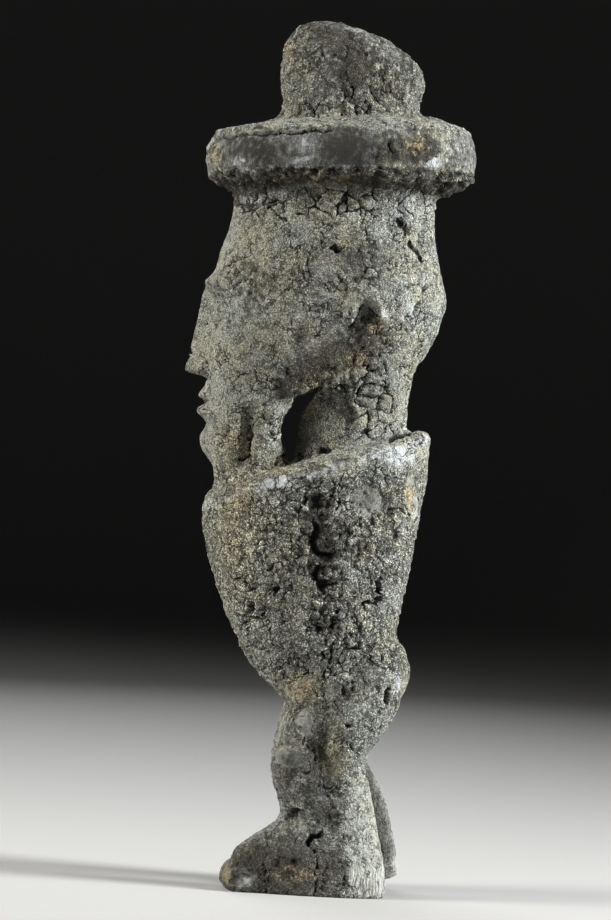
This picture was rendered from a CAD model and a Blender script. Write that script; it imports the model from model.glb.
# %% [markdown]
# # A small carved figure under an old crust
#
# The packed model holds one solid: a little standing figure in a broad hat, carved from one piece of wood.
# Years of offerings and smoke have left a crust on it, which has cracked, crumbled and worn through.
# This notebook gives the solid that surface. The frame is loaded first, because it fixes every size and
# place, and nothing below moves or resizes it.

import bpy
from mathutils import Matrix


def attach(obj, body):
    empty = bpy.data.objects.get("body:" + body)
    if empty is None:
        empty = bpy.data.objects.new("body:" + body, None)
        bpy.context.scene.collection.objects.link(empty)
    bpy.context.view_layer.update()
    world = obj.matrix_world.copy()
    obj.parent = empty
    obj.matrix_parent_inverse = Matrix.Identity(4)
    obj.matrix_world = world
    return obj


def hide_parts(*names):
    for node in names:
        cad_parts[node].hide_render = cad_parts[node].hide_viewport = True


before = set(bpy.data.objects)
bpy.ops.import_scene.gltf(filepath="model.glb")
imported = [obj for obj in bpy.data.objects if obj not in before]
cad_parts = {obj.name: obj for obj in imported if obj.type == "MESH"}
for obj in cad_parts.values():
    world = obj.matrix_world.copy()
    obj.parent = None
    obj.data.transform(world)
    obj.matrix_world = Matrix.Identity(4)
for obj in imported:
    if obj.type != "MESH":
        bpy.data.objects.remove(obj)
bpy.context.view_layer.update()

# %% Modules and units
import math

import bmesh
import bpy
import numpy as np
from mathutils import Matrix, Vector

MM = 0.001
scene = bpy.context.scene

# %% [markdown]
# ## The camera
#
# The picture is taken from the figure's left side, level with its middle, from about five times its
# height away. The picture is rolled a little, so the figure's own axis runs straight up in it although
# the figure leans forward over its soles. A camera could be aimed with a Track To constraint, but the
# roll would be lost. So its three directions are written as the columns of its matrix. The same three
# directions give every point of the figure two things: its place along the figure's own axis, and the
# pixel of the picture that it falls on. Both are used later to place marks.

# %% Camera
PICTURE_WIDTH, PICTURE_HEIGHT = 611, 920
PIXEL = 0.2052 * MM
CAMERA_DISTANCE = 0.95
LEAN = math.radians(3.2)
AIM = Vector((0.0, -0.0029, 0.0879))
TO_FRONT = Vector((-1.0, 0.0, 0.0))
TO_RIGHT = Vector((0.0, math.cos(LEAN), math.sin(LEAN)))
TO_TOP = Vector((0.0, -math.sin(LEAN), math.cos(LEAN)))

camera_data = bpy.data.cameras.new("camera")
camera_data.sensor_fit = "AUTO"
camera_data.sensor_width = 36.0
camera_data.lens = camera_data.sensor_width * CAMERA_DISTANCE / (PICTURE_HEIGHT * PIXEL)
camera_data.clip_start = 0.01
camera = bpy.data.objects.new("camera", camera_data)
scene.collection.objects.link(camera)
turn = Matrix((TO_RIGHT, TO_TOP, -TO_FRONT)).transposed()
camera.matrix_world = Matrix.Translation(AIM - TO_FRONT * CAMERA_DISTANCE) @ turn.to_4x4()
scene.camera = camera
print("lens in mm", round(camera_data.lens, 1))

# %% [markdown]
# ## Floor and light
#
# The stage is a plain bowl: a round floor whose rim curves up into a wall. It is turned from one profile
# with a Screw modifier, like a plate on a wheel. A flat plane would show its horizon as a hard line, and a
# sheet hung behind the figure would hide it from the other side. Its paper is grey and not white,
# because a white floor burns out and throws too much light up at the legs.
#
# Two soft lights stand at the picture's left and right, almost square to the view, so that their light
# grazes the crust and draws every crumb. Weaker ones on the far side, above and near the camera open the
# shadows. Little of their light reaches the far wall, so in the picture it falls off to nearly black.

# %% Stage
FLOOR_RADIUS = 1.7
WALL_CURVE = 0.7
WALL_HEIGHT = 2.4
CURVE_STEPS = 12
TURN_STEPS = 96
PAPER = (0.26, 0.257, 0.250, 1.0)


def turned_bowl(name):
    profile = [(0.0, 0.0), (FLOOR_RADIUS, 0.0)]
    for step in range(1, CURVE_STEPS + 1):
        angle = step / CURVE_STEPS * math.pi / 2
        profile.append((FLOOR_RADIUS + WALL_CURVE * math.sin(angle), WALL_CURVE * (1 - math.cos(angle))))
    profile.append((FLOOR_RADIUS + WALL_CURVE, WALL_HEIGHT))
    mesh = bpy.data.meshes.new(name)
    edges = [(i, i + 1) for i in range(len(profile) - 1)]
    mesh.from_pydata([(x, 0.0, z) for x, z in profile], edges, [])
    bowl = bpy.data.objects.new(name, mesh)
    scene.collection.objects.link(bowl)
    screw = bowl.modifiers.new("turn", "SCREW")
    screw.steps = TURN_STEPS
    screw.render_steps = TURN_STEPS
    screw.use_merge_vertices = True
    screw.merge_threshold = 0.0001
    screw.use_smooth_shade = True
    return bowl


def paper():
    material = bpy.data.materials.new("pale_paper")
    material.use_nodes = True
    shader = material.node_tree.nodes["Principled BSDF"]
    shader.inputs["Base Color"].default_value = PAPER
    shader.inputs["Roughness"].default_value = 0.9
    shader.inputs["Specular IOR Level"].default_value = 0.2
    return material


floor = turned_bowl("floor")
floor.data.materials.append(paper())
print("floor radius in m", FLOOR_RADIUS)

# %% Lights
LIGHT_SPREAD = math.radians(100)
ROOM_COLOUR = (0.80, 0.82, 0.85, 1.0)
ROOM_STRENGTH = 0.03


def soft_light(name, place, width, height, watts, colour):
    """A rectangular light aimed at the middle of the figure."""
    data = bpy.data.lights.new(name, "AREA")
    data.shape = "RECTANGLE"
    data.size = width
    data.size_y = height
    data.energy = watts
    data.color = colour
    data.spread = LIGHT_SPREAD
    light = bpy.data.objects.new(name, data)
    scene.collection.objects.link(light)
    light.location = place
    light.rotation_euler = (AIM - Vector(place)).to_track_quat("-Z", "Y").to_euler()
    light.visible_camera = False


soft_light("light_behind", (0.15, 0.62, 0.34), 0.20, 0.50, 6.5, (0.97, 0.99, 1.0))
soft_light("light_in_front", (0.22, -0.66, 0.34), 0.28, 0.50, 4.3, (1.0, 0.980, 0.926))
soft_light("light_far_side", (-0.70, -0.20, 0.45), 0.60, 0.60, 1.8, (0.95, 0.97, 1.0))
soft_light("light_above", (0.10, 0.05, 0.95), 0.40, 0.40, 0.5, (1.0, 1.0, 1.0))
soft_light("light_fill", (0.95, 0.10, 0.35), 0.60, 0.60, 0.20, (0.96, 0.98, 1.0))

world = bpy.data.worlds.new("studio")
world.use_nodes = True
background = world.node_tree.nodes["Background"]
background.inputs["Color"].default_value = ROOM_COLOUR
background.inputs["Strength"].default_value = ROOM_STRENGTH
scene.world = world
scene.view_settings.view_transform = "Standard"

# %% [markdown]
# ## A fine skin over the solid
#
# The solid has flat facets a millimetre or two wide, too coarse for cracks a third of a millimetre wide.
# A Subdivision Surface would keep the uneven facets and only split them. A voxel remesh lays an even net
# of small squares over the form instead, and a few rounds of smoothing take the facets' edges off. The
# solid itself stays as it is: all of this is done to a copy. The face is smoothed less than the rest, so
# that its lids and lips stay crisp.

# %% Dense skin
SKIN_SIZE = 0.27 * MM


def smoothing_rounds(blur):
    """How many rounds of half-strength smoothing spread a point over about this distance."""
    return max(1, round(2 * (blur / SKIN_SIZE) ** 2))


def evaluated_mesh(obj):
    graph = bpy.context.evaluated_depsgraph_get()
    graph.update()
    shaped = obj.evaluated_get(graph)
    return bpy.data.meshes.new_from_object(shaped, preserve_all_data_layers=True, depsgraph=graph)


def settle(obj):
    """Makes the object's modifiers real."""
    mesh = evaluated_mesh(obj)
    obj.modifiers.clear()
    old = obj.data
    obj.data = mesh
    bpy.data.meshes.remove(old)


def smooth(obj, blur, group_name=""):
    modifier = obj.modifiers.new("smooth", "SMOOTH")
    modifier.factor = 0.5
    modifier.iterations = smoothing_rounds(blur)
    modifier.vertex_group = group_name


def read(mesh, name):
    values = np.empty(3 * len(mesh.vertices), np.float32)
    mesh.vertices.foreach_get(name, values)
    return values.reshape(-1, 3)


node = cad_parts["carved_figure"]
bm = bmesh.new()
bm.from_mesh(node.data)
bmesh.ops.remove_doubles(bm, verts=bm.verts, dist=0.001 * MM)
skin_mesh = bpy.data.meshes.new("encrusted_figure")
bm.to_mesh(skin_mesh)
bm.free()
figure = bpy.data.objects.new("encrusted_figure", skin_mesh)
scene.collection.objects.link(figure)
remesh = figure.modifiers.new("skin", "REMESH")
remesh.mode = "VOXEL"
remesh.voxel_size = SKIN_SIZE
settle(figure)
print("skin points", len(figure.data.vertices))

# %% Smooth the skin, the face less
FACET_BLUR = 0.75 * MM
FACE_SHARE = 0.25
FACE_BACK = -16.0 * MM
FACE_LOW, FACE_HIGH = 92.0 * MM, 140.0 * MM

raw = read(figure.data, "co")
is_face = (raw[:, 1] < FACE_BACK) & (raw[:, 2] > FACE_LOW) & (raw[:, 2] < FACE_HIGH)
weights = figure.vertex_groups.new(name="smoothed")
weights.add(np.flatnonzero(~is_face).tolist(), 1.0, "REPLACE")
weights.add(np.flatnonzero(is_face).tolist(), FACE_SHARE, "REPLACE")
smooth(figure, FACET_BLUR, "smoothed")
settle(figure)
print("points on the face", int(is_face.sum()))

# %% Read the skin into arrays
EDGE_BLUR = 1.6 * MM

place = read(figure.data, "co").astype(np.float64)
outward = read(figure.data, "normal").astype(np.float64)

softer = figure.copy()
softer.data = figure.data.copy()
scene.collection.objects.link(softer)
smooth(softer, EDGE_BLUR)
settle(softer)
bulge = np.einsum("ij,ij->i", outward, place - read(softer.data, "co")) / MM
bpy.data.objects.remove(softer)
print("bulge in mm, hollows to edges", np.percentile(bulge, (1, 50, 99)).round(3))

# %% [markdown]
# ## Where on the figure is each point?
#
# Marks are easiest to place in the picture, and areas are easiest to name along the figure's own axis.
# So every point of the skin gets both: its own height, depth and width in millimetres, and its pixel in
# the picture. A mark from the picture counts only on the side that the picture shows.

# %% Own frame and picture frame
OWN_ORIGIN = Vector((0.0, 7.82, -1.35)) * MM

own = np.column_stack([
    place[:, 0] / MM,
    (place - OWN_ORIGIN) @ np.array(TO_RIGHT) / MM,
    (place - OWN_ORIGIN) @ np.array(TO_TOP) / MM,
])
own_x, own_y, own_z = own.T
facing = np.column_stack([outward[:, 0], outward @ np.array(TO_RIGHT), outward @ np.array(TO_TOP)])

from_camera = place - np.array(camera.location)
depth = from_camera @ np.array(TO_FRONT)
scale = CAMERA_DISTANCE / PIXEL / depth
pixel_u = PICTURE_WIDTH / 2 + from_camera @ np.array(TO_RIGHT) * scale
pixel_v = PICTURE_HEIGHT / 2 - from_camera @ np.array(TO_TOP) * scale
print("picture columns", pixel_u.min().round(1), pixel_u.max().round(1))
print("picture rows", pixel_v.min().round(1), pixel_v.max().round(1))

# %% Ramps, hills and spots


def ramp(value, low, high):
    """0 below low, 1 above high, with a smooth rise between."""
    t = np.clip((value - low) / (high - low), 0.0, 1.0)
    return t * t * (3 - 2 * t)


def between(value, low, high, soft):
    return ramp(value, low - soft, low + soft) * (1 - ramp(value, high - soft, high + soft))


LEG_TOP = 34.0
near = ramp(facing[:, 0], -0.15, 0.10) * np.where(own_z < LEG_TOP, own_x > 0, True)
far_leg = ramp(facing[:, 0], -0.15, 0.10) * ((own_z < LEG_TOP) & (own_x < 0))


def wander(seed, waves=((24.0, 1.6), (11.0, 0.7), (5.5, 0.3))):
    """A gentle shift that winds about over the picture, as waves of these lengths and heights in pixels."""
    chance = np.random.default_rng(seed)
    total = np.zeros(len(pixel_u))
    for length, tall in waves:
        for _ in range(3):
            heading, start = chance.uniform(0, 2 * math.pi, 2)
            along = pixel_u * math.cos(heading) + pixel_v * math.sin(heading)
            total += tall * 0.6 * np.sin(along * 2 * math.pi / length + start)
    return total


COLUMN_SEED, ROW_SEED = 3, 8
mark_u = pixel_u + wander(COLUMN_SEED)
mark_v = pixel_v + wander(ROW_SEED)

MARK_FALLOFF = 2.2
MARK_RIM = 0.35


def reach(column, row, wide, high, turned=0.0):
    """1 in the middle of an oval mark, 0 on its rim, and below 0 outside. The turn is in degrees."""
    c, s = math.cos(math.radians(turned)), math.sin(math.radians(turned))
    across, down = mark_u - column, mark_v - row
    along = (across * c + down * s) / wide
    aside = (down * c - across * s) / high
    return 1 - np.hypot(along, aside)


def spots(marks, side=near):
    """The strongest of several marks, from -1 to 1, on the side that the picture shows."""
    total = np.full(len(pixel_u), -1.0)
    for mark in marks.values():
        total = np.maximum(total, reach(*mark))
    return np.where(side > 0.5, total, -1.0)


def summed(marks, side=near):
    """Soft marks added up. The fifth value of each is its strength, and a turn may follow it."""
    total = np.zeros(len(pixel_u))
    for column, row, wide, high, strength, *turned in marks.values():
        outwards = np.clip(1 - reach(column, row, wide, high, *turned), 0, 4)
        total += strength * np.exp(-MARK_FALLOFF * np.square(outwards))
    return total * side


def tints(marks, side=near):
    return np.clip(summed(marks, side), 0, 1)


def patches(marks, side=near):
    """1 over the whole of each oval mark, with a narrow soft rim."""
    return ramp(spots(marks, side), 0.0, MARK_RIM)


print("points on the near side", int(near.sum()), "on the far leg", int(far_leg.sum()))

# %% [markdown]
# ## Losses and cracks that can be told apart
#
# The larger losses, where the crust has come off in a ragged hollow, and the longer cracks each have their
# own place on the figure, so they are marked one by one, in pixels of the picture. Every mark is stored
# as a distance and not as a yes or no. A distance can be read anywhere between two points of the mesh, so
# the edge that is cut from it later stays sharp. A gash is wider than a crack and a hairline is
# narrower, so a fixed amount is taken off or added to their distance.

# %% Losses, as column, row, two radii and any turn in degrees
LOSSES = {
    "hook_below_chip": (336, 250, 5.5, 2.6, 15), "nape_pit_upper": (424, 289, 2.2, 3),
    "nape_pit_middle": (416, 308, 2.4, 5.5, 30), "nape_pit_lower": (408, 317, 2.6, 4, 40),
    "neck_foot": (398, 437, 12, 3, -20), "neck_foot_hole": (404, 426, 4, 3.4),
    "collar_hole": (324, 451, 6, 3.6, 10), "torso_top": (318, 503, 15, 8.5, 10),
    "torso_deep": (314, 543, 6.8, 14, -12), "torso_hook": (325, 557, 9, 4.6),
    "torso_waist": (314, 573, 5, 10, 15), "torso_step": (325, 586, 9.5, 5.5),
    "torso_low": (319, 631, 7, 4.5), "hip_slit": (352, 648, 9, 2.6, -32), "side_pit_a": (235, 578, 3.2, 3),
    "side_pit_b": (251, 587, 5.5, 2.8), "side_pit_c": (252, 609, 5, 3.4, 15),
    "side_pit_d": (246, 626, 3, 4.4), "side_pit_e": (270, 567, 3.4, 2.6),
    "side_pit_f": (274, 592, 4.6, 2.6, -20), "buttock_pit": (387, 695, 2.6, 8),
    "thigh_hole": (351, 728, 3.4, 3), "ankle_front": (295, 814, 10, 2.8, -10),
    "ankle_hole": (309.5, 840, 3.4, 7), "ankle_hole_arm": (316, 835, 6, 2.6, -8),
    "brim_hole": (316, 173, 3.6, 2.8), "brim_back_a": (446, 186, 7, 3, -15),
    "brim_back_b": (460, 183, 3.4, 4),
}
FAR_LOSSES = {"far_calf_hole": (387.5, 862, 3, 3.4), "far_calf_pit": (384, 800, 2, 2.4)}

# %% Cracks and wider gashes, as pixels from end to end
CRACKS = {
    "nape_arc": ((356, 391), (363, 389), (370, 383), (386, 385), (390, 396)),
    "nape_short": ((385, 364), (387, 373)),
    "collar_long": ((291, 452), (281, 459), (269, 467), (258, 470)),
    "collar_hook": ((250, 425), (252, 438), (247, 454), (240, 462)),
    "torso_fork": ((331, 492), (340, 503), (336, 512)),
    "back_arc": ((381, 528), (384, 517), (392, 512), (402, 509), (407, 521)),
    "lens_left": ((404, 478), (404, 500), (411, 522)),
    "waist_long": ((333, 646), (332, 660), (326, 676)),
    "waist_short": ((323, 650), (319, 662)),
    "hip_short": ((378, 650), (382, 664)),
    "waist_cross": ((310, 624), (320, 631), (333, 624), (338, 612)),
    "crown_foot_left": ((306, 103), (313, 110), (320, 116)),
    "crown_foot_right": ((350, 86), (352, 97), (349, 103)),
    "brim_lip_left": ((222, 138), (245, 135.5), (270, 134), (300, 132), (330, 130)),
    "torso_crevice_top": ((305, 497), (299, 508), (298, 519)),
    "torso_crevice_middle": ((325, 557), (333, 555), (341, 548)),
    "torso_crevice_low": ((319, 587), (329, 588), (336, 584)),
    "side_crevice": ((238, 575), (247, 585), (257, 592)),
    "side_crevice_low": ((245, 611), (252, 616), (261, 615)),
    "temple_long": ((232, 203), (246, 207), (261, 205), (279, 200)),
    "temple_drop": ((268, 203), (274, 214), (286, 219)),
    "ear_arch": ((350, 330), (356, 316), (364, 307), (371, 311), (379, 319)),
    "jaw_edge": ((345, 385), (334, 388), (322, 392), (308, 396)),
}

GASHES = {
    "temple_hole": ((401, 223), (404, 230)),
    "temple_slit": ((411, 241), (415, 249), (417, 254), (421, 262)),
    "torso_deep": ((315, 527), (311, 541), (316, 555), (325, 557)),
    "torso_deep_low": ((317, 568), (313, 578), (319, 587)),
    "back_slit": ((382, 577), (379, 584), (381, 592)),
    "back_slit_foot": ((364, 606), (369, 602), (374, 604), (378, 598)),
    "collar_hole": ((320, 450), (329, 452)),
    "neck_foot": ((392, 439), (408, 433)),
    "buttock_slit": ((388, 689), (386, 701)),
    "ankle_hole": ((311, 834), (309, 846)),
}
GASH_WIDENING = 0.32
HAIRLINES = {
    "foot_long": ((315, 850), (317, 870), (314, 899)),
    "foot_short": ((345, 872), (341, 886), (338, 899)),
    "foot_front": ((262, 868), (266, 882), (264, 897)),
    "knee_arc": ((302, 737), (310, 747), (313, 759), (309, 771), (298, 779)),
}
HAIRLINE_NARROWING = 0.10


def crack_distance(cracks, side=near, limit=2.0):
    """The distance in mm to the nearest crack, up to a limit."""
    nearest = np.full(len(pixel_u), limit)
    for points in cracks.values():
        for (u0, v0), (u1, v1) in zip(points, points[1:]):
            length = (u1 - u0) ** 2 + (v1 - v0) ** 2
            t = np.clip(((mark_u - u0) * (u1 - u0) + (mark_v - v0) * (v1 - v0)) / length, 0, 1)
            off = np.hypot(mark_u - u0 - t * (u1 - u0), mark_v - v0 - t * (v1 - v0))
            nearest = np.minimum(nearest, off * PIXEL / MM)
    return np.where(side > 0.5, nearest, limit)


cut = np.minimum(crack_distance(CRACKS), crack_distance(GASHES) - GASH_WIDENING)
cut = np.minimum(cut, crack_distance(HAIRLINES) + HAIRLINE_NARROWING)
print("losses", len(LOSSES) + len(FAR_LOSSES), "cracks", len(CRACKS), "gashes", len(GASHES))

# %% [markdown]
# ## Losses on the side that nobody photographed
#
# The hidden side had the same life, so it is given losses too, smaller and plainer. They are scattered
# with a seeded random draw, which gives the same places every time the notebook runs.

# %% Scattered losses
SCATTERED_LOSSES = 46
SCATTER_SEED = 17
HIDDEN_LOW, HIDDEN_HIGH = 8, 150
SMALLEST_LOSS_MM, LARGEST_LOSS_MM = 0.5, 1.9

rng = np.random.default_rng(SCATTER_SEED)
hidden = np.flatnonzero((facing[:, 0] < -0.05) & (own_z > HIDDEN_LOW) & (own_z < HIDDEN_HIGH))
centres = place[rng.choice(hidden, SCATTERED_LOSSES, replace=False)]
radii = rng.uniform(SMALLEST_LOSS_MM, LARGEST_LOSS_MM, SCATTERED_LOSSES) * MM
stretch = rng.uniform(0.5, 1.0, SCATTERED_LOSSES)

loss = np.maximum(spots(LOSSES), spots(FAR_LOSSES, far_leg))
for centre, radius, squeeze in zip(centres, radii, stretch):
    offset = place - centre
    offset[:, 1] /= squeeze
    loss = np.maximum(loss, np.clip(1 - np.linalg.norm(offset, axis=1) / radius, -1, 1))
print("share of the skin in a loss", round(float((loss > 0).mean()), 4))

# %% [markdown]
# ## Areas of the figure
#
# The crust isn't the same all over. It lies in plates under the brim and on the nape, it is crumbly on the
# body, and it is gone from the neck under the jaw. The brim's edge is bare wood that hands have polished.
# The heels are fibrous, pale and splintered. Each of these areas is a number at every point, mostly from
# 0 to 1. The form gives the first ones. The others are soft oval marks in the picture:
#
# - bare: the crust is off and the wood shows, and smoothed: it is worn even besides
# - calm: little relief, and rugged: lumps with dark valleys between them
# - warm: tan dust in the crust, straw: bits of dry grass in it, ochre: the wood inside a chip
# - stain: soot and oil, and polish: rubbed by hands
# - swells: millimetres that the form gains or loses there
# - shade: how much darker the crust is than elsewhere, below 0 where it is paler

# %% Areas from the form
# Heights and depths are in mm, along and across the figure's own axis
BRIM_MIDDLE = 1.6
SHOULDER_HEIGHT = 88.2
SHOULDER_SLOPE = 0.295
SHOULDER_BAND = 1.3
brim_radius = np.hypot(own_x, own_y - BRIM_MIDDLE)
level = np.abs(facing[:, 2])
band = between(own_z, 148.6, 156.0, 0.5) * (1 - ramp(level, 0.45, 0.75)) * ramp(brim_radius, 18, 20)
bevel = between(own_z, 143.5, 148.2, 0.6) * ramp(brim_radius, 19, 21)
crown_area = ramp(own_z, 158, 160)
crown_foot = between(own_z, 158.5, 167.0, 1.5)
under_brim = between(own_z, 138.5, 146.0, 1.5) * (1 - ramp(brim_radius, 23, 26))
nape = between(own_z, 92.0, 110.0, 2.5) * ramp(own_y, 2.0, 6.0)
jaw = between(own_z, 90.0, 112.0, 3.0) * (1 - ramp(own_y, -17.0, -12.0))
waist = between(own_z, 44.0, 62.0, 4.0)
torso = between(own_z, 46.0, 88.0, 3.0)
legs = 1 - ramp(own_z, 40, 46)
feet = 1 - ramp(own_z, 10, 14)
neck_side = between(own_z, 92.6, 103.0, 0.8) * between(own_y, -8.2, 3.6, 0.9) * (np.abs(own_x) < 13.5)
face = ramp(-facing[:, 1], 0.0, 0.4) * ramp(-own_y, 12.0, 17.0) * between(own_z, 92.0, 138.0, 2.5)
far_side = ramp(facing[:, 0], -0.5, 0.5) * (own_x < 0) * (1 - ramp(own_z, 20, 34))
heels = ramp(own_y, 2.4, 4.2) * (1 - ramp(own_z, 6.2, 8.4))
calves = ramp(own_y, 1.5, 4.5) * between(own_z, 6.0, 24.0, 2.0)
print("share of the skin on the brim's band", round(float(band.mean()), 4))

# %% Bare and smoothed places, as column, row, two radii and any turn
BARE = {
    "neck": (325, 417, 36, 32), "shoulder_patch": (369, 500, 21, 20), "knee": (290, 756, 19, 17),
    "knee_low": (299, 783, 14, 10, 20), "thigh_front": (304, 724, 10, 19, -12),
    "toe": (244, 880, 17, 9, -15),
}
SMOOTHED = {
    "lens": (411, 497, 8, 28), "shoulder_patch": (369, 500, 18, 18), "knee": (289, 755, 15, 14),
    "thigh_front": (304, 724, 10, 18, -12), "toe": (242, 879, 15, 9, -15),
}
print("bare", len(BARE), "smoothed", len(SMOOTHED))

# %% Calm, rugged and warm crust, with a strength before any turn
CALM = {
    "chest": (234, 545, 34, 95, 0.9), "head_side": (275, 275, 62, 52, 0.7),
    "cheek": (250, 335, 36, 34, 0.6),
}
RUGGED = {
    "torso_right": (388, 545, 28, 80, 1.7, 8), "torso_core": (322, 548, 30, 76, 1.1, -4),
    "torso_side": (252, 600, 26, 34, 0.5), "nape": (378, 412, 26, 30, 0.6), "hip": (352, 692, 34, 26, 0.5),
    "knee": (302, 782, 22, 26, 0.6), "shin": (330, 800, 20, 40, 0.6), "foot": (285, 864, 60, 34, 0.9),
    "brim_facet": (425, 150, 42, 24, 0.8), "brim_end": (214, 152, 12, 26, 0.5),
}
WARM = {
    "chest": (234, 530, 38, 100, 1), "chin": (240, 440, 40, 40, 0.8), "collar": (285, 465, 50, 14, 1, -18),
    "jaw": (322, 375, 60, 30, 1, -25), "hip": (302, 690, 40, 40, 0.9), "knee_back": (334, 760, 20, 36, 0.9),
    "foot": (285, 870, 62, 32, 1), "crown_left": (292, 60, 12, 36, 0.8), "bevel": (330, 178, 115, 10, 1),
    "brim_facet": (415, 150, 34, 22, 0.9), "torso_back": (366, 548, 22, 26, 0.8),
}
print("calm", len(CALM), "rugged", len(RUGGED), "warm", len(WARM))

# %% Straw, ochre and stain
STRAW_MARKS = {
    "jaw": (325, 372, 54, 20, 1, -25), "below_ear": (368, 350, 26, 26, 1), "neck": (314, 418, 22, 26, 1),
    "neck_foot": (336, 444, 16, 6, 1), "collar": (268, 470, 34, 10, 0.6, -18),
    "knee_back": (336, 755, 14, 22, 0.8), "hip": (308, 690, 26, 16, 0.8), "foot": (282, 872, 52, 18, 0.7),
    "toe": (226, 870, 8, 18, 1), "brim_bevel": (300, 177, 70, 6, 0.8),
}
OCHRE = {
    "chip": (345, 244, 11, 7, 1.2, -8), "lens": (411, 496, 6.5, 25, 0.85),
    "neck_deposit": (334, 445, 12, 4, 1, -5), "behind_ear": (375, 325, 22, 14, 0.55, -30),
    "straw": (358, 362, 30, 18, 0.5, -35), "chest": (240, 500, 30, 30, 0.55),
    "collar": (275, 466, 24, 8, 0.45, -20), "neck_left": (310, 414, 14, 26, 0.68),
    "hip": (303, 692, 20, 16, 0.6, -30), "side": (372, 548, 16, 14, 0.45),
    "brim_facet": (418, 146, 30, 16, 0.42), "brim_end": (216, 156, 12, 22, 0.42),
    "brim_bevel": (315, 177, 95, 7, 0.55), "crown_edge": (288, 52, 6, 14, 0.7),
    "knee": (282, 745, 12, 6, 0.65, -30), "shin": (327, 762, 12, 16, 0.62),
    "toe": (227, 872, 10, 18, 0.8, 10), "foot": (300, 874, 40, 14, 0.58),
}
STAIN = {
    "temple": (300, 342, 12, 16, 0.55), "ear": (364, 324, 22, 14, 0.85),
    "below_ear": (360, 348, 42, 30, 0.9, -15), "jaw_shadow": (312, 370, 56, 26, 1, -26),
    "jaw_front": (282, 390, 24, 16, 0.6, -35), "nape": (380, 400, 28, 36, 0.45),
    "face_side": (246, 290, 32, 70, 0.4), "collar": (335, 466, 54, 10, 0.75, -18),
    "torso_core": (322, 540, 26, 66, 0.95, -8), "torso_back": (356, 545, 22, 34, 0.45),
    "torso_foot": (330, 625, 34, 24, 0.5), "hip": (350, 692, 22, 20, 0.6),
    "knee_side": (318, 768, 16, 40, 0.85), "knee_outline": (311, 757, 5, 24, 0.8),
    "foot": (292, 868, 66, 34, 1), "toe": (236, 872, 18, 20, 0.45), "ankle": (326, 812, 12, 10, 0.9),
    "brim_middle": (346, 149, 30, 22, 0.8), "brim_grooves": (386, 152, 12, 20, 0.9),
    "brim_facet": (414, 150, 30, 22, 0.75), "crown_right": (400, 74, 22, 36, 0.4),
    "head_middle": (362, 258, 40, 40, 0.62), "neck_panel": (345, 415, 14, 26, 0.75),
    "knee": (292, 765, 16, 24, 0.35), "lens": (412, 497, 8, 26, 0.5), "head_side": (300, 285, 70, 60, 0.4),
    "brim_left": (255, 150, 50, 20, 0.45), "crown_top": (335, 36, 48, 18, 0.6, 20),
    "crown_middle": (352, 70, 36, 34, 0.6),
}
print("straw", len(STRAW_MARKS), "ochre", len(OCHRE), "stain", len(STAIN))

# %% Polish, swells, crust left on the band, and shade
POLISH = {
    "shoulder_front": (272, 484, 20, 5, 0.75, -15), "shoulder_back": (400, 458, 24, 12, 0.9, -15),
    "brim_patch_a": (301, 144, 17, 9, 1, -20), "brim_patch_b": (304, 160, 20, 5, 0.8, -10),
    "brim_patch_c": (238, 161, 13, 6, 0.72), "brim_facet": (434, 163, 32, 6, 0.85, -3),
    "buttock": (396, 684, 7, 24, 1, 5), "knee": (289, 756, 16, 15, 0.85),
    "toe": (244, 880, 14, 7, 0.8, -15), "thigh_front": (305, 724, 8, 18, 0.9, -12),
    "skull": (410, 312, 20, 22, 0.55), "skull_edge": (384, 312, 7, 16, 0.7, -25),
    "cheek": (258, 330, 22, 40, 0.25), "torso_edge": (403, 530, 18, 70, 0.45, 8),
}
SWELLS = {
    "knee": (289, 755, 15, 14, 1.4), "knee_crease": (302, 772, 16, 3, -0.75, 12),
    "knee_edge": (314, 757, 4, 22, -1.2), "knee_low": (301, 784, 13, 10, 0.95),
    "thigh_front": (300, 727, 15, 12, 0.8, -20), "behind_knee": (322, 756, 9, 34, -1.25),
    "shin_hollow": (294, 803, 14, 10, -0.7), "ankle_hollow": (330, 822, 14, 18, -0.7),
    "instep": (292, 850, 26, 12, 0.35, 25), "ear_filling": (366, 325, 10, 8, 0.6),
    "ear_nub": (382, 309, 13, 9, -0.6, 20), "lens": (412, 494, 5, 22, -0.45),
    "jaw_recess": (356, 352, 28, 18, -0.45, -20), "jaw_recess_low": (322, 377, 34, 9, -0.5, -28),
    "temple_hollow": (298, 340, 12, 14, -0.4), "toe": (240, 876, 13, 10, 0.3),
    "brim_groove": (391, 151, 3.6, 18, -0.85, 4), "brim_groove_left": (379, 154, 3.2, 15, -0.6, -5),
}
SHADE = {
    "head_middle": (345, 262, 85, 75, 0.34), "cheek": (278, 350, 45, 45, 0.3),
    "nape": (382, 388, 34, 60, 0.28), "neck": (325, 420, 36, 30, -0.8),
    "neck_left": (308, 418, 12, 28, -0.5), "chest": (252, 560, 44, 100, -0.54),
    "hip": (335, 668, 60, 44, 0.36), "knee": (292, 772, 34, 40, 0.36), "shin": (324, 815, 40, 44, 0.42),
    "foot": (284, 870, 75, 44, 0.56), "toe": (240, 872, 24, 30, 0.46), "heel": (372, 878, 26, 30, 0.55),
    "brim_facet": (422, 150, 26, 22, 0.34), "brim_far": (464, 158, 14, 26, -0.34),
    "brim_left": (262, 152, 50, 20, 0.12), "knee_patch": (289, 756, 20, 18, 0.58),
    "thigh_patch": (304, 724, 12, 20, 0.5, -12), "shoulder_patch": (369, 500, 23, 23, 0.6),
    "torso_right": (394, 560, 26, 80, -0.12), "calf": (368, 815, 24, 50, 0.14),
    "temple": (250, 215, 28, 26, 0.16), "thigh": (330, 728, 40, 24, 0.12), "crown": (350, 75, 80, 55, 0.12),
    "brim_middle": (345, 150, 34, 26, 0.46),
}
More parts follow.
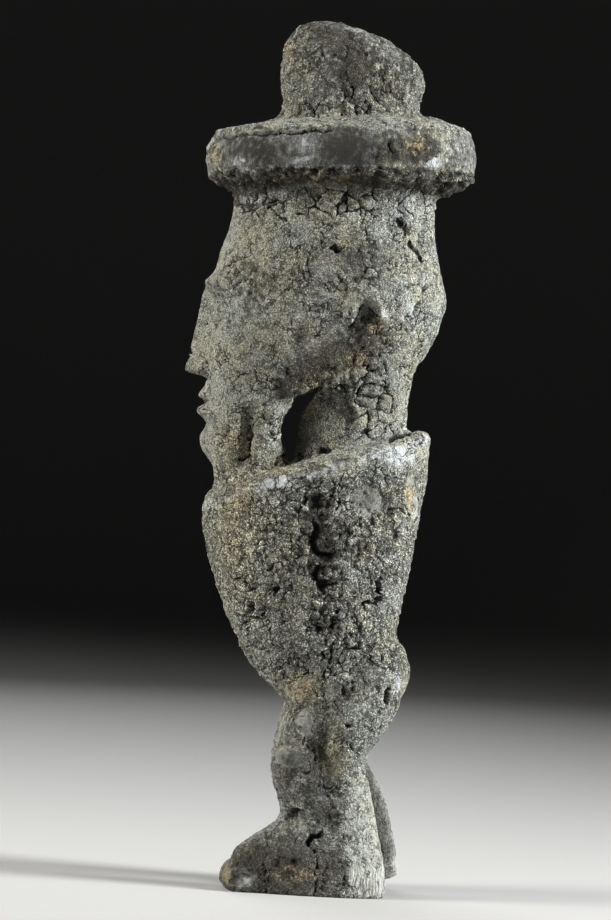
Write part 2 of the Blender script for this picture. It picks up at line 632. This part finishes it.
CRUST_LEFT = {
    "brim_grooves": (384, 150, 10, 24, 0.8), "brim_facet": (424, 150, 42, 30, 1.3),
    "brim_end": (212, 150, 14, 26, 0.9), "brim_left": (250, 138, 26, 6, 0.5),
}
print("polish", len(POLISH), "swells", len(SWELLS), "shade", len(SHADE))

# %% Put the areas together
band = band * (1 - tints(CRUST_LEFT))
smoothed = patches(SMOOTHED)
calm = tints(CALM)
bare = np.clip(np.maximum(patches(BARE) * (own_z < 104), neck_side), 0, 1)
ochre = tints(OCHRE)
rim = between(own_z, 148.0, 157.0, 0.6) * ramp(brim_radius, 18, 20)
leg_front = legs * (1 - ramp(own_y, 0.5, 4.0))
leg_inside = (1 - ramp(own_z, 26, 34)) * ramp(-facing[:, 0] * np.sign(own_x), 0.3, 0.8)
stain = tints(STAIN) + 0.54 * bevel + 0.38 * rim + 0.30 * crown_area + 0.34 * leg_front + 0.6 * leg_inside
stain = stain + 0.65 * far_side + 0.15 * feet * (own_y < 2) + 0.35 * ramp(own_z, 139, 143) * under_brim
stain = np.clip(stain, 0, 1)
stain = np.clip(stain + 0.9 * face * ramp(-bulge, 0.05, 0.22), 0, 1) * (1 - 0.6 * bare * legs)
edge_wear = ramp(bulge, 0.14, 0.34)
shoulder_edge = np.exp(-np.square((own_z - SHOULDER_HEIGHT - SHOULDER_SLOPE * own_y) / SHOULDER_BAND))
shoulder_edge = shoulder_edge * ramp(np.hypot(facing[:, 0], facing[:, 1]), 0.3, 0.8)
polish = tints(POLISH) + 0.25 * band + 0.6 * edge_wear + 0.6 * shoulder_edge + 0.45 * leg_front
polish = np.clip(polish, 0, 1)
bloom = tints(POLISH) + 0.25 * edge_wear + 0.5 * shoulder_edge
bloom = np.clip(bloom - 0.42 * bare * legs * (own_z > 14), 0, 1)
plates = np.clip(0.95 * under_brim + 0.8 * nape + 0.45 * jaw + 0.5 * waist + 0.42 * crown_foot, 0, 1)
plates = np.clip(np.maximum(plates * (1 - face), 0.34 * face) - bare - band, 0, 1)
fibre = np.clip(heels + 0.45 * calves, 0, 1)
pale = 0.7 * heels + 0.5 * calves + tints({"calf": (368, 822, 12, 44, 0.6, -6)})
pale = np.clip(pale - 0.8 * leg_inside, 0, 1)
fibre = fibre * (1 - 0.7 * leg_inside)
grit = 0.62 + 0.38 * torso + 0.25 * crown_area + 0.30 * legs + 0.4 * bevel
grit = grit - 0.15 * bare - 0.75 * band - 0.5 * fibre - 0.20 * polish
grit = np.clip(grit - 0.6 * smoothed - 0.1 * calm - 0.22 * face, 0.05, 1)
clumps = 0.50 + 0.50 * torso + 0.20 * crown_area - 0.22 * legs + 0.3 * bevel - 0.25 * calm - 0.8 * face
clumps = np.clip(clumps - 0.8 * plates - bare - band - 0.6 * fibre - smoothed - 0.6 * shoulder_edge, 0, 1)
swell = summed(SWELLS)
rugged = 1.2 * bevel + 0.7 * (rim - band) + 0.35 * crown_area + summed(RUGGED)
rugged = np.clip(rugged - smoothed - bare, 0, 1.6)
straw = tints(STRAW_MARKS)
shade = np.clip(0.24 * face + 0.60 * far_side + summed(SHADE), -0.9, 0.75)
soot_depth = 1 - 0.15 * legs
fine = np.maximum(grit, 0.80) + 0.25 * calm * (1 - face) + 0.35 * neck_side
fine = fine * (1 - 0.55 * pale) * (1 - 0.6 * smoothed) * (1 - 0.3 * band)
warm = tints(WARM)
print("mean of each area", {
    name: round(float(value.mean()), 3)
    for name, value in (("bare", bare), ("ochre", ochre), ("stain", stain), ("polish", polish))
})

# %% Store the areas on the mesh


def store(mesh, name, values):
    kind = "FLOAT_VECTOR" if values.ndim == 2 else "FLOAT"
    attribute = mesh.attributes.new(name, kind, "POINT")
    attribute.data.foreach_set("vector" if values.ndim == 2 else "value", values.astype(np.float32).ravel())


store(figure.data, "rest_mm", place / MM)
store(figure.data, "loss", loss)
store(figure.data, "cut", cut)
AREAS = {"bare": bare, "ochre": ochre, "stain": stain, "polish": polish, "bloom": bloom, "plates": plates,
         "fibre": fibre, "pale": pale, "grit": grit, "clumps": clumps, "band": band, "swell": swell,
         "rugged": rugged, "straw": straw, "warm": warm, "shade": shade, "fine": fine, "soot": soot_depth}
for area_name, area_values in AREAS.items():
    store(figure.data, area_name, area_values)
print("attributes", sorted(attribute.name for attribute in figure.data.attributes if attribute.name in AREAS))

# %% [markdown]
# ## One recipe, two kinds of group
#
# A crack has to be a dark line in the colour and a groove in the mesh at the same place. Blender's noise and
# cell textures give the same value in a shader as in Geometry Nodes when they read the same point. So each
# shared effect is written once, as a recipe, and built twice: as a geometry group that moves the skin, and
# as a shader group that colours it. Both read `rest_mm`, the place that a point had before it was moved.

# %% Short ways to add nodes


class Graph:
    """Adds nodes to one tree. Any input takes a plain value or the output of another node."""

    def __init__(self, tree):
        self.tree = tree
        self.kind = tree.bl_idname.replace("NodeTree", "")

    def add(self, kind, inputs, **settings):
        node = self.tree.nodes.new(kind)
        for name, value in settings.items():
            setattr(node, name, value)
        for key, value in inputs.items():
            if isinstance(value, bpy.types.NodeSocket):
                self.tree.links.new(value, node.inputs[key])
            else:
                node.inputs[key].default_value = value
        return node

    def math(self, operation, a, b):
        return self.add("ShaderNodeMath", {0: a, 1: b}, operation=operation).outputs[0]

    def times(self, a, b):
        return self.math("MULTIPLY", a, b)

    def plus(self, a, b):
        return self.math("ADD", a, b)

    def minus(self, a, b):
        return self.math("SUBTRACT", a, b)

    def over(self, a, b):
        return self.math("DIVIDE", a, b)

    def most(self, a, b):
        return self.math("MAXIMUM", a, b)

    def vector(self, operation, a, b):
        return self.add("ShaderNodeVectorMath", {0: a, 1: b}, operation=operation).outputs[0]

    def scaled(self, vector, factor):
        return self.add("ShaderNodeVectorMath", {0: vector, 3: factor}, operation="SCALE").outputs[0]

    def ramp(self, value, low, high, start=0.0, end=1.0):
        inputs = {0: value, 1: low, 2: high, 3: start, 4: end}
        return self.add("ShaderNodeMapRange", inputs, interpolation_type="SMOOTHSTEP").outputs[0]

    def noise(self, vector, scale, detail, output=0):
        inputs = {"Vector": vector, "Scale": scale, "Detail": detail}
        return self.add("ShaderNodeTexNoise", inputs).outputs[output]

    def waves(self, vector, scale, detail):
        """Noise that goes below 0 as far as above it."""
        return self.minus(self.noise(vector, scale, detail), 0.5)

    def jitter(self, vector, scale, detail):
        """The same as a vector, to push points about."""
        return self.vector("SUBTRACT", self.noise(vector, scale, detail, output=1), (0.5, 0.5, 0.5))

    def cells(self, vector, scale, feature, output=0):
        inputs = {"Vector": vector, "Scale": scale}
        return self.add("ShaderNodeTexVoronoi", inputs, feature=feature).outputs[output]

    def paint(self, factor, a, b, how="MIX"):
        return self.add("ShaderNodeMix", {0: factor, 6: a, 7: b}, data_type="RGBA", blend_type=how).outputs[2]

    def darken(self, colour, value):
        """The colour times a grey of this value."""
        grey = self.add("ShaderNodeCombineXYZ", {0: value, 1: value, 2: value}).outputs[0]
        return self.paint(1.0, colour, grey, "MULTIPLY")

    def group(self, groups, **inputs):
        """Places the group that is of this tree's kind."""
        return self.add(f"{self.kind}NodeGroup", inputs, node_tree=groups[self.kind]).outputs


def make_group(name, kind, inputs, outputs, recipe):
    """A node group of one kind. It takes a point and named values, and puts named values out."""
    tree = bpy.data.node_groups.new(f"{name} {kind.lower()}", f"{kind}NodeTree")
    tree.interface.new_socket("Point", in_out="INPUT", socket_type="NodeSocketVector")
    for label, value in inputs.items():
        socket = tree.interface.new_socket(label, in_out="INPUT", socket_type="NodeSocketFloat")
        socket.default_value = value
    for label in outputs:
        tree.interface.new_socket(label, in_out="OUTPUT", socket_type="NodeSocketFloat")
    start = tree.nodes.new("NodeGroupInput")
    end = tree.nodes.new("NodeGroupOutput")
    results = recipe(Graph(tree), *[start.outputs[label] for label in ("Point", *inputs)])
    for label, result in zip(outputs, results):
        tree.links.new(result, end.inputs[label])
    return tree


def make_groups(name, inputs, outputs, recipe, kinds=("Geometry", "Shader")):
    """The same group once for each kind of tree."""
    return {kind: make_group(name, kind, inputs, outputs, recipe) for kind in kinds}


print("ways to add nodes", [name for name in vars(Graph) if not name.startswith("_")])

# %% [markdown]
# ## Crackle
#
# A drying crust shrinks and splits into plates. A Voronoi texture set to the distance from the nearest cell
# edge gives such plates. Bare Voronoi edges are too straight, so the point is first pushed about by a wide
# and by a fine noise. A broad noise says how far the cracks of a neighbourhood have opened, so they taper
# from gaps to hairlines and close, because a real crust is never cracked evenly. Each plate also gets a
# tone of its own, which lifts or sinks it a little against its neighbours.

# %% Crackle group
CRACKLE_INPUTS = {"Plate": 3.0, "Wander": 0.5, "Width": 0.25, "Open": 0.6}


def crackle(g, point, plate, wander, width, opened):
    per_mm = g.over(1.0, plate)
    wide = g.jitter(point, per_mm, 1.0)
    fine = g.jitter(point, g.times(per_mm, 5.0), 1.0)
    push = g.times(plate, wander)
    moved = g.vector("ADD", point, g.scaled(wide, push))
    moved = g.vector("ADD", moved, g.scaled(fine, g.times(push, 0.35)))
    distance = g.times(g.cells(moved, per_mm, "DISTANCE_TO_EDGE"), plate)
    closed = g.minus(1.0, opened)
    where = g.noise(g.vector("ADD", point, (31.0, 17.0, 5.0)), g.times(per_mm, 0.4), 3.0)
    spread = g.ramp(where, 0.32, 0.68)
    present = g.ramp(g.minus(spread, closed), -0.25, 0.25)
    uneven = g.ramp(g.noise(point, g.times(per_mm, 2.3), 1.0), 0.3, 0.7, 0.45, 1.2)
    own_width = g.times(g.times(width, uneven), g.ramp(present, 0.0, 1.0, 0.25, 1.0))
    line = g.ramp(distance, g.times(own_width, 0.35), own_width, 1.0, 0.0)
    crack = g.times(line, g.ramp(present, 0.02, 0.30))
    tone = g.ramp(g.cells(moved, per_mm, "F1", output=1), 0.2, 0.8, -0.5, 0.5)
    dome = g.ramp(distance, 0.0, g.times(plate, 0.3))
    return crack, g.times(tone, present), g.times(dome, present)


crackle_groups = make_groups("crackle", CRACKLE_INPUTS, ("Crack", "Tone", "Dome"), crackle)
print("groups", [group.name for group in crackle_groups.values()])

# %% [markdown]
# ## Ragged patches
#
# A loss has a crumbled rim. The stored distance to the mark's rim is disturbed by noise before it is cut
# off at zero, so a plain oval turns into a ragged hollow. The drawn cracks are roughened in the same way.

# %% Ragged group and pit group
RAGGED_INPUTS = {"Reach": 0.0, "Raggedness": 0.8, "Grain": 1.0, "Softness": 0.08}


def ragged(g, point, depth_in, raggedness, grain, softness):
    scale = g.over(1.0, grain)
    swing = g.times(g.waves(point, scale, 3.0), raggedness)
    return (g.ramp(g.plus(depth_in, swing), g.times(softness, -1.0), softness),)


ragged_groups = make_groups("ragged patch", RAGGED_INPUTS, ("Mask",), ragged)


def ragged_mask(g, point, reach, raggedness, grain, softness=RAGGED_INPUTS["Softness"]):
    return g.group(ragged_groups, Point=point, Reach=reach, Raggedness=raggedness, Grain=grain,
                   Softness=softness)["Mask"]


PIT_INPUTS = {"Spacing": 2.0, "Radius": 0.3, "Share": 0.4}


def pits(g, point, spacing, radius, share):
    per_mm = g.over(1.0, spacing)
    moved = g.vector("ADD", point, g.scaled(g.jitter(point, 1.6, 2.0), 0.9))
    distance = g.times(g.cells(moved, per_mm, "F1"), spacing)
    hole = g.ramp(distance, g.times(radius, 0.55), radius, 1.0, 0.0)
    pick = g.add("ShaderNodeSeparateXYZ", {0: g.cells(moved, per_mm, "F1", output=1)}).outputs[0]
    present = g.ramp(pick, g.minus(share, 0.02), g.plus(share, 0.02), 1.0, 0.0)
    return (g.times(hole, present),)


pit_groups = make_groups("pits", PIT_INPUTS, ("Mask",), pits)
print("groups", len(bpy.data.node_groups))

# %% [markdown]
# ## Fibres
#
# Where the crust is gone from the heels the wood has splintered into strands. Noise on a point that is
# squeezed along the strands and not across them gives long streaks.

# %% Fibre group
FIBRE_INPUTS = {"Pitch": 0.5, "Length": 6.0}


def fibres(g, point, pitch, length):
    across = g.over(1.0, pitch)
    along = g.over(1.0, length)
    stretch = g.add("ShaderNodeCombineXYZ", {0: across, 1: across, 2: along}).outputs[0]
    bent = g.vector("ADD", point, g.scaled(g.noise(point, 0.25, 1.0, output=1), 1.6))
    return (g.noise(g.vector("MULTIPLY", bent, stretch), 1.0, 3.0),)


fibre_groups = make_groups("fibres", FIBRE_INPUTS, ("Streak",), fibres)
print("fibre sockets", list(FIBRE_INPUTS))

# %% [markdown]
# ## The recipe of the whole surface
#
# Both trees need the same cracks, pits, losses and strands, so one function places the groups with their
# values and hands back the masks. The values are in millimetres.

# %% Shared masks
# The size of a plate and the width of its cracks in mm, and how far the stored areas open them
COARSE_PLATE, COARSE_WIDTH, COARSE_OPEN = 4.2, 0.26, 0.95
MEDIUM_PLATE, MEDIUM_WIDTH, MEDIUM_OPEN = 1.7, 0.15, 0.74
PLATE_WANDER = 0.70
CORE_INSET = 0.38
DRAWN_HALF_WIDTH = 0.20
GASH_INSET = 0.05
PIT_SHARE = 0.40


def surface_masks(g, point, area):
    """Masks that the mesh and the colour share. The function area gives a stored area by its name."""
    unbanded = g.minus(1.0, area("band"))
    coarse_width = g.ramp(area("plates"), 0.2, 1.0, 0.4 * COARSE_WIDTH, COARSE_WIDTH)
    coarse = g.group(crackle_groups, Point=point, Plate=COARSE_PLATE, Wander=PLATE_WANDER,
                     Width=coarse_width, Open=g.times(area("plates"), COARSE_OPEN))
    medium = g.group(crackle_groups, Point=point, Plate=MEDIUM_PLATE, Wander=PLATE_WANDER,
                     Width=MEDIUM_WIDTH, Open=g.times(area("clumps"), MEDIUM_OPEN))
    gash = g.minus(-GASH_INSET, area("cut"))
    deeper = g.most(g.minus(area("loss"), CORE_INSET), gash)
    drawn = g.minus(DRAWN_HALF_WIDTH, area("cut"))
    pit_share = g.times(area("grit"), PIT_SHARE)
    return {
        "coarse": g.times(coarse["Crack"], unbanded),
        "tone": coarse["Tone"],
        "dome": coarse["Dome"],
        "medium": g.times(medium["Crack"], unbanded),
        "clump_tone": medium["Tone"],
        "clump": medium["Dome"],
        "loss": ragged_mask(g, point, area("loss"), 1.7, 1.5),
        "core": ragged_mask(g, point, deeper, 1.5, 1.1),
        "drawn": ragged_mask(g, point, drawn, 0.85, 0.7),
        "bare": ragged_mask(g, point, g.minus(area("bare"), 0.5), 1.1, 1.2),
        "pit": g.group(pit_groups, Point=point, Spacing=1.9, Radius=0.30, Share=pit_share)["Mask"],
        "streak": g.group(fibre_groups, Point=point, Pitch=0.42, Length=5.0)["Streak"],
        "lumps": g.noise(point, 0.45, 4.0),
    }


print("plates in mm", COARSE_PLATE, MEDIUM_PLATE)

# %% [markdown]
# ## Relief in the mesh
#
# The geometry tree adds up heights in millimetres and moves every point of the skin along its normal. Cracks,
# losses and pits go in. Plates swell a little between their cracks, and broad, low waves show that the form
# was cut by hand.

# %% Relief tree
relief_tree = bpy.data.node_groups.new("relief", "GeometryNodeTree")
relief_tree.interface.new_socket("Geometry", in_out="INPUT", socket_type="NodeSocketGeometry")
relief_tree.interface.new_socket("Geometry", in_out="OUTPUT", socket_type="NodeSocketGeometry")
relief = Graph(relief_tree)
relief_start = relief_tree.nodes.new("NodeGroupInput")
relief_end = relief_tree.nodes.new("NodeGroupOutput")


def relief_area(name, kind="FLOAT"):
    return relief.add("GeometryNodeInputNamedAttribute", {"Name": name}, data_type=kind).outputs[0]


rest = relief_area("rest_mm", "FLOAT_VECTOR")
masks = surface_masks(relief, rest, relief_area)
grit_area = relief_area("grit")

# Each height is a mask, how far it goes in or out in mm, and an area that limits it or None
HEIGHTS = (
    (masks["coarse"], -0.48, None),
    (masks["dome"], 0.12, None),
    (masks["tone"], 0.28, None),
    (masks["medium"], -0.26, None),
    (masks["clump"], 0.12, None),
    (masks["clump_tone"], 0.38, None),
    (masks["bare"], -0.42, None),
    (masks["loss"], -0.68, None),
    (masks["core"], -0.62, None),
    (masks["drawn"], -0.55, None),
    (masks["pit"], -0.42, None),
    (relief.minus(masks["streak"], 0.5), 0.52, relief_area("fibre")),
    (relief.waves(rest, 0.11, 2.0), 0.70, None),
    (relief.waves(rest, 0.30, 2.0), 0.95, grit_area),
    (relief.minus(masks["lumps"], 0.5), 2.70, relief_area("rugged")),
    (relief.waves(rest, 1.00, 2.0), 0.62, grit_area),
)
height = relief_area("swell")
for mask, amount, limit in HEIGHTS:
    part = relief.times(mask, amount)
    if limit is not None:
        part = relief.times(part, limit)
    height = relief.plus(part, height)

normal = relief_tree.nodes.new("GeometryNodeInputNormal").outputs[0]
offset = relief.scaled(normal, relief.times(height, MM))
moved = relief.add("GeometryNodeSetPosition", {"Geometry": relief_start.outputs[0], "Offset": offset})
relief_tree.links.new(moved.outputs[0], relief_end.inputs[0])

relief_modifier = figure.modifiers.new("relief", "NODES")
relief_modifier.node_group = relief_tree
settle(figure)
shift = np.linalg.norm(read(figure.data, "co") - place, axis=1) / MM
print("relief in mm, median and deepest", np.percentile(shift, (50, 100)).round(3))

# %% [markdown]
# ## Keep the soles flat and thin the mesh
#
# The soles stay on the floor, so points that belong to them go back to their plane. The skin has more
# triangles than it needs on the plain stretches. A Decimate modifier takes them out there and leaves them
# in the cracks.

# %% Soles and thinning
TRIANGLE_LIMIT = 198_000
SOLE_BAND = 0.30 * MM
FACING_DOWN = -0.7

points = read(figure.data, "co")
on_sole = (place[:, 2] < SOLE_BAND) & (outward[:, 2] < FACING_DOWN)
points[on_sole, 2] = 0.0
points[:, 2] = np.maximum(points[:, 2], 0.0)
figure.data.vertices.foreach_set("co", points.ravel())
figure.data.update()

triangles = sum(len(polygon.vertices) - 2 for polygon in figure.data.polygons)
thin = figure.modifiers.new("thin", "DECIMATE")
thin.ratio = min(1.0, TRIANGLE_LIMIT / triangles)
thin.use_collapse_triangulate = True
settle(figure)
figure.data.shade_smooth()
print("triangles", triangles, "thinned to", len(figure.data.polygons), "sole points", int(on_sole.sum()))

# %% [markdown]
# ## The crusted wood
#
# The shader reads the same masks. The crust is a warm grey of many small grains. Soot and old oil stain it
# brown in the sheltered places, ochre shows in chips, and the cracks are nearly black. Where hands have
# rubbed it the surface is smoother and cooler, and it shines a little. The grains are far too small for the
# mesh, so they are bump.

# %% Grain group
GRAIN_INPUTS = {"Size": 0.4, "Contrast": 1.0}


def grains(g, point, size, contrast):
    per_mm = g.over(1.0, size)
    soft = g.noise(point, per_mm, 3.0)
    pushed = g.vector("ADD", point, g.scaled(g.noise(point, per_mm, 2.0, output=1), size))
    body = g.minus(1.0, g.cells(pushed, per_mm, "F1"))
    both = g.plus(g.times(soft, 1.2), g.times(body, 0.45))
    tint = g.plus(g.times(g.minus(both, 0.86), contrast), 0.5)
    return tint, both


grain_groups = make_groups("grain", GRAIN_INPUTS, ("Tint", "Height"), grains, kinds=("Shader",))
print("grain sockets", list(GRAIN_INPUTS))

# %% Colours of the crust and the wood
CRUST_GREY = (0.231, 0.243, 0.208, 1.0)
CRUST_WARM = (0.242, 0.212, 0.124, 1.0)
CRUST_COOL = (0.185, 0.195, 0.188, 1.0)
CRUST_LIGHT = (0.56, 0.56, 0.49, 1.0)
CRUST_DARK = (0.040, 0.038, 0.031, 1.0)
BARE_WOOD = (0.165, 0.165, 0.134, 1.0)
BAND_WOOD = (0.034, 0.033, 0.029, 1.0)
BAND_PALE = (0.115, 0.118, 0.110, 1.0)
SOOT_FILM = (0.146, 0.135, 0.100, 1.0)
OCHRE_WOOD = (0.24, 0.185, 0.095, 1.0)
STAINED_CRUMB = (0.205, 0.180, 0.130, 1.0)
STRAW = (0.40, 0.34, 0.20, 1.0)
POLISHED = (0.37, 0.39, 0.41, 1.0)
PALE_FIBRE = (0.315, 0.320, 0.288, 1.0)
FIBRE_SHADE = (0.100, 0.096, 0.080, 1.0)
CRACK_BLACK = (0.010, 0.009, 0.007, 1.0)


def area_reader(tree):
    """Gives a stored area as a socket, and makes only one node for each."""
    made = {}

    def area(name):
        if name not in made:
            made[name] = tree.nodes.new("ShaderNodeAttribute")
            made[name].attribute_name = name
        return made[name].outputs["Fac"]

    return area


print("colours of crust", CRUST_GREY[:3], CRUST_WARM[:3], CRUST_COOL[:3])

# %% Ground colour


def ground_colour(g, point, area, masks, streak):
    """Crust, the bare wood of the neck, or the dark wood of the brim's band."""
    broad = g.most(g.ramp(g.noise(point, 0.09, 3.0), 0.38, 0.62, 0.0, 0.5), area("warm"))
    elsewhere = g.vector("ADD", point, (9.0, 3.0, 40.0))
    patchy = g.ramp(g.noise(elsewhere, 0.22, 4.0), 0.45, 0.68, 0.0, 0.7)
    patchy = g.times(patchy, g.ramp(area("warm"), 0.0, 1.0, 1.0, 0.4))
    colour = g.paint(broad, CRUST_GREY, CRUST_WARM)
    colour = g.paint(patchy, colour, CRUST_COOL)
    wood = g.paint(g.times(streak, 0.5), BARE_WOOD, CRUST_COOL)
    colour = g.paint(g.times(masks["bare"], 0.85), colour, wood)
    worn_wood = g.paint(streak, BAND_WOOD, BAND_PALE)
    worn = ragged_mask(g, point, g.minus(area("band"), 0.55), 0.9, 1.6, 0.25)
    return g.paint(worn, colour, worn_wood)


print("the ground colour reads", ("warm", "band"))

# %% Grain laid over the ground


def with_grain(g, colour, fine, coarse, amount, area, masks):
    """Light and dark crumbs, darker clumps, and a tone for each plate."""
    light = g.ramp(fine["Tint"], 0.52, 0.92, 0.0, 0.54)
    light = g.times(light, g.ramp(area("stain"), 0.0, 1.0, 1.0, 0.45))
    colour = g.paint(g.times(light, amount), colour, CRUST_LIGHT)
    dark = g.ramp(fine["Tint"], 0.48, 0.16, 0.0, 0.95)
    colour = g.paint(g.times(dark, amount), colour, CRUST_DARK)
    clumps = g.ramp(coarse["Tint"], 0.48, 0.15, 0.0, 0.70)
    colour = g.paint(g.times(clumps, area("grit")), colour, CRUST_DARK)
    tones = g.plus(masks["tone"], g.times(masks["clump_tone"], 0.8))
    tone = g.plus(g.times(tones, 0.32), 1.02)
    return g.darken(colour, g.minus(tone, area("shade")))


print("the grain reads", ("stain", "grit", "shade"))

# %% [markdown]
# ## Soot, ochre and rubbed places
#
# Soot and oil darken what is under them, so their colour is multiplied in, and the crumbs still show through.
# A mix would paint them over. Ochre is the wood's own inner colour in fresh chips, so it replaces the grey.
# Rubbed places are paler and cooler, because the crust's finest grains are pressed flat there.

# %% Age and wear


def aged(g, colour, point, area, masks, fine):
    soot = ragged_mask(g, point, g.minus(area("stain"), 0.50), 1.9, 1.3, 0.32)
    film = g.times(g.times(g.ramp(area("stain"), 0.0, 0.30), soot), area("soot"))
    colour = g.paint(film, colour, SOOT_FILM, "MULTIPLY")
    crumbs = g.ramp(fine["Tint"], 0.60, 0.88, 0.0, 0.60)
    crumbs = g.times(g.times(crumbs, film), area("grit"))
    colour = g.paint(crumbs, colour, STAINED_CRUMB)
    chips = ragged_mask(g, point, g.minus(area("ochre"), 0.50), 2.0, 0.9, 0.20)
    chips = g.times(g.times(chips, g.ramp(area("ochre"), 0.0, 0.2)), 0.72)
    chip_colour = g.darken(OCHRE_WOOD, g.ramp(fine["Tint"], 0.1, 0.8, 0.45, 1.35))
    colour = g.paint(chips, colour, chip_colour)
    bent = g.vector("ADD", point, g.scaled(g.noise(point, 0.30, 1.0, output=1), 9.0))
    specks = g.ramp(g.noise(g.vector("MULTIPLY", bent, (3.4, 3.4, 1.3)), 1.0, 1.0), 0.61, 0.69)
    colour = g.paint(g.times(g.times(specks, area("straw")), 0.60), colour, STRAW)
    strand = g.ramp(masks["streak"], 0.32, 0.60)
    colour = g.paint(g.times(area("pale"), 0.40), colour, PALE_FIBRE)
    strands = g.paint(strand, FIBRE_SHADE, PALE_FIBRE)
    colour = g.paint(g.times(area("fibre"), 0.80), colour, strands)
    rubbed = ragged_mask(g, point, g.minus(area("bloom"), 0.50), 1.3, 1.5, 0.16)
    return g.paint(g.times(rubbed, 0.54), colour, POLISHED)


print("age reads", ("stain", "soot", "grit", "ochre", "straw", "pale", "fibre", "bloom"))

# %% Crusted wood
FINE_GRAIN, COARSE_GRAIN = 0.26, 0.85
CREVICE_PLATE, CREVICE_WIDTH = 0.80, 0.13
BUMP_IN_CRACKS = -0.24


def crusted_wood():
    material = bpy.data.materials.new("encrusted_wood")
    material.use_nodes = True
    tree = material.node_tree
    g = Graph(tree)
    shader = tree.nodes["Principled BSDF"]
    area = area_reader(tree)
    rest = tree.nodes.new("ShaderNodeAttribute")
    rest.attribute_name = "rest_mm"
    point = rest.outputs["Vector"]

    masks = surface_masks(g, point, area)
    fine = g.group(grain_groups, Point=point, Size=FINE_GRAIN, Contrast=2.1)
    coarse = g.group(grain_groups, Point=point, Size=COARSE_GRAIN, Contrast=1.3)
    streak = g.ramp(g.group(fibre_groups, Point=point, Pitch=0.30, Length=3.0)["Streak"], 0.3, 0.7)
    amount = area("fine")
    colour = ground_colour(g, point, area, masks, streak)
    colour = with_grain(g, colour, fine, coarse, amount, area, masks)
    colour = aged(g, colour, point, area, masks, fine)

    crevice = g.group(crackle_groups, Point=point, Plate=CREVICE_PLATE, Wander=1.1, Width=CREVICE_WIDTH,
                      Open=g.times(area("grit"), 0.66))
    crumble = g.noise(g.vector("ADD", point, (5.0, 50.0, 9.0)), 1.5, 4.0)
    hollows = g.times(g.ramp(crumble, 0.43, 0.33, 0.0, 0.62), area("grit"))
    valleys = g.times(g.ramp(masks["lumps"], 0.47, 0.36, 0.0, 0.75), area("rugged"))
    hollows = g.most(hollows, valleys)
    dark = g.most(masks["coarse"], g.times(masks["medium"], 0.90))
    dark = g.most(dark, g.times(crevice["Crack"], 0.72))
    dark = g.most(dark, g.most(masks["drawn"], g.times(masks["pit"], 0.92)))
    dark = g.most(dark, g.times(masks["core"], 0.92))
    colour = g.paint(g.times(masks["loss"], 0.45), colour, CRUST_DARK)
    colour = g.paint(g.most(dark, hollows), colour, CRACK_BLACK)
    tree.links.new(colour, shader.inputs["Base Color"])

    gloss = g.ramp(area("polish"), 0.25, 0.90, 0.84, 0.40)
    rough = g.plus(gloss, g.times(g.minus(fine["Tint"], 0.5), 0.12))
    tree.links.new(g.most(rough, dark), shader.inputs["Roughness"])
    shader.inputs["Specular IOR Level"].default_value = 0.32

    # Each height is a socket and how many mm it stands for, over an area or everywhere
    grit = area("grit")
    heights = (
        (fine["Height"], 0.34, amount),
        (coarse["Height"], 0.54, grit),
        (crumble, 0.62, grit),
        (masks["streak"], 0.35, area("fibre")),
        (streak, 0.10, area("band")),
        (dark, BUMP_IN_CRACKS, 1.0),
    )
    total = 0.0
    for socket, mm, where in heights:
        total = g.plus(g.times(g.times(socket, mm), where), total)
    bump = g.add("ShaderNodeBump", {"Strength": 1.0, "Distance": MM, "Height": total})
    tree.links.new(bump.outputs["Normal"], shader.inputs["Normal"])
    return material


figure.data.materials.clear()
figure.data.materials.append(crusted_wood())
print("nodes in the material", len(figure.data.materials[0].node_tree.nodes))

# %% [markdown]
# ## Hand in
#
# The dressed figure rides on the one body, stands for the carved solid and takes its slot. The two boxes
# are written down, so that they can be compared.

# %% Ride, replace and finish
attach(figure, "root")
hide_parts("carved_figure")
